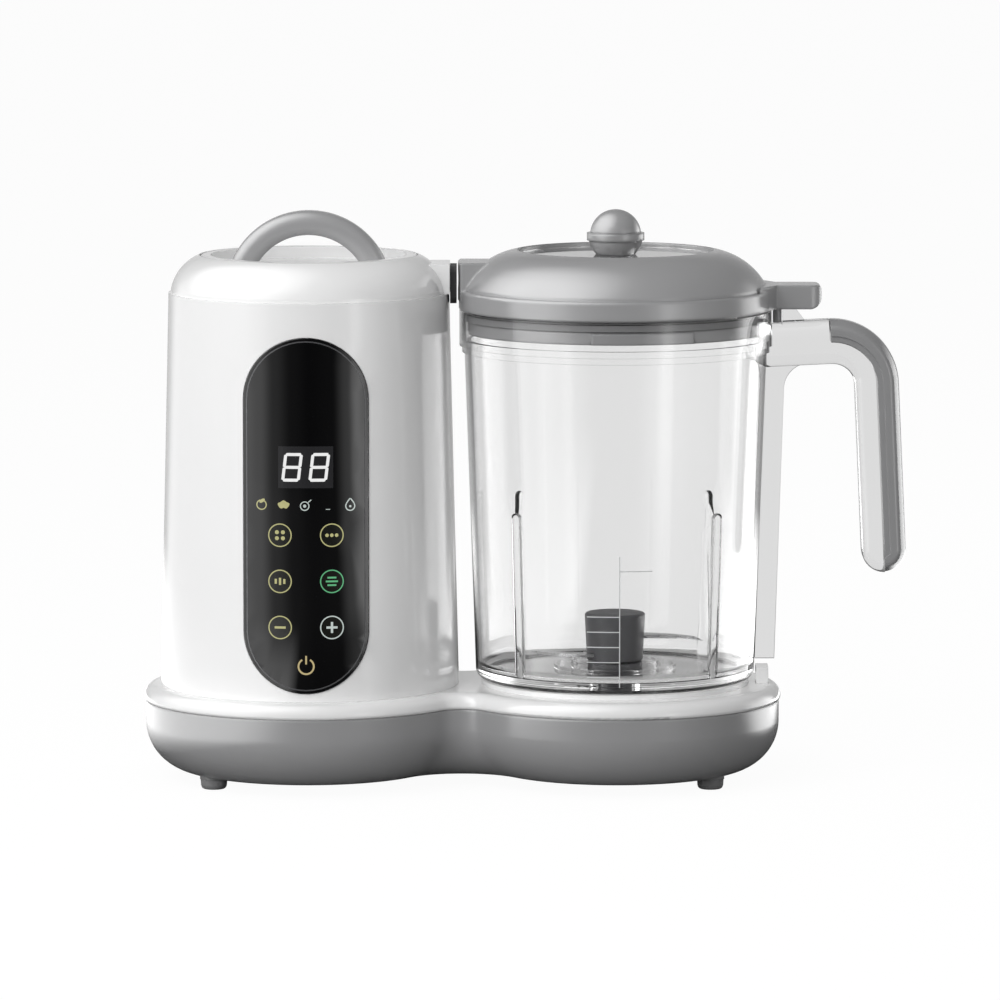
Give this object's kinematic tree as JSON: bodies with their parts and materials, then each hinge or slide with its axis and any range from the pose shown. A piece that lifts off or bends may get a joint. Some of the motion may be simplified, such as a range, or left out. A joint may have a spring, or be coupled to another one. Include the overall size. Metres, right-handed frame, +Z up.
{
  "type": "baby food processor",
  "caption": "Steam-and-blend baby food processor: tapered steam tower with touch panel and lift-out tank cap beside a clear blender jar with handle, twist lid and belt-driven blades.",
  "frame": {"origin": "on the table, under the middle of the outer box", "axes": "+X from the tower to the jar, +Y to the back, +Z up"},
  "size_m": [0.3082, 0.1342, 0.2312],
  "materials": {
    "white_abs": "moulded gloss white",
    "grey_abs": "moulded satin grey",
    "grey_gloss": "moulded gloss grey",
    "black_lens": "polished black",
    "clear_plastic": "polished clear",
    "dark_rubber": "matte",
    "grey_rubber": "matte",
    "pale_silicone": "matte translucent",
    "stainless_steel": "brushed",
    "zinc_steel": "zinc plated",
    "cast_aluminium": "die cast",
    "dark_nylon": "moulded matte",
    "circuit_board": "solder mask",
    "wound_iron": "varnished windings"
  },
  "bodies": {
    "base": {"base_pan": "grey_abs", "base_deck": "white_abs", "rubber_feet": "grey_rubber", "base_screws": "zinc_steel", "jar_key_post": "white_abs", "jar_switch": "dark_nylon", "cord_gland": "grey_abs", "tower_shell": "white_abs", "tower_screws": "zinc_steel", "top_cover": "white_abs", "panel_lens": "black_lens", "control_board": "circuit_board", "display_module": "dark_nylon", "power_board": "circuit_board", "boiler_cup": "stainless_steel", "boiler_gasket": "pale_silicone", "heating_plate": "cast_aluminium", "thermostat": "dark_nylon", "steam_pipe": "pale_silicone", "steam_gasket": "dark_rubber", "motor_can": "zinc_steel", "motor_bracket": "zinc_steel", "motor_screws": "zinc_steel", "drive_belt": "dark_rubber", "drive_bearings": "stainless_steel"},
    "motor_rotor": {"motor_armature": "wound_iron", "motor_shaft": "stainless_steel", "motor_pulley": "dark_nylon"},
    "drive": {"drive_shaft": "stainless_steel", "driven_pulley": "dark_nylon", "drive_coupling": "dark_nylon"},
    "cap_ring": {"cap_gasket": "pale_silicone"},
    "cap": {"tank_cap": "white_abs", "arch_handle": "grey_abs", "cap_screws": "zinc_steel"},
    "jar": {"jar_body": "clear_plastic", "jar_handle": "clear_plastic", "handle_cover": "grey_gloss", "blade_bush": "dark_nylon", "bush_nut": "dark_nylon"},
    "blades": {"blade_spindle": "stainless_steel", "blade_hub": "dark_nylon", "lower_blade": "stainless_steel", "upper_blade": "stainless_steel", "jar_coupling": "dark_nylon"},
    "lid_ring": {"lid_gasket": "grey_rubber"},
    "lid": {"lid_shell": "grey_abs", "lid_window": "clear_plastic", "knob_base": "grey_abs", "knob_ball": "grey_abs", "knob_screw": "zinc_steel"}
  },
  "joints": [
    {"name": "motor_spin", "type": "hinge", "parent": "base", "child": "motor_rotor", "pos_m": [-0.08703, 0, 0], "axis": [0, 0, 1], "continuous": true},
    {"name": "drive_spin", "type": "hinge", "parent": "base", "child": "drive", "pos_m": [0.03657, 0, 0], "axis": [0, 0, 1], "continuous": true},
    {"name": "cap_lift", "type": "slide", "parent": "base", "child": "cap_ring", "axis": [0, 0, 1], "range_m": [0, 0.06]},
    {"name": "cap_turn", "type": "hinge", "parent": "cap_ring", "child": "cap", "pos_m": [-0.08703, 0, 0], "axis": [0, 0, 1], "range_deg": [0, 60]},
    {"name": "jar_lift", "type": "slide", "parent": "base", "child": "jar", "axis": [0, 0, 1], "range_m": [0, 0.08]},
    {"name": "blade_spin", "type": "hinge", "parent": "jar", "child": "blades", "pos_m": [0.03657, 0, 0], "axis": [0, 0, 1], "continuous": true},
    {"name": "lid_lift", "type": "slide", "parent": "jar", "child": "lid_ring", "axis": [0, 0, 1], "range_m": [0, 0.08]},
    {"name": "lid_turn", "type": "hinge", "parent": "lid_ring", "child": "lid", "pos_m": [0.03657, 0, 0], "axis": [0, 0, 1], "range_deg": [0, 30]}
  ],
  "couplings": [
    {"joint": "drive_spin", "follows": "motor_spin", "ratio": 0.41667},
    {"joint": "blade_spin", "follows": "motor_spin", "ratio": 0.41667}
  ]
}
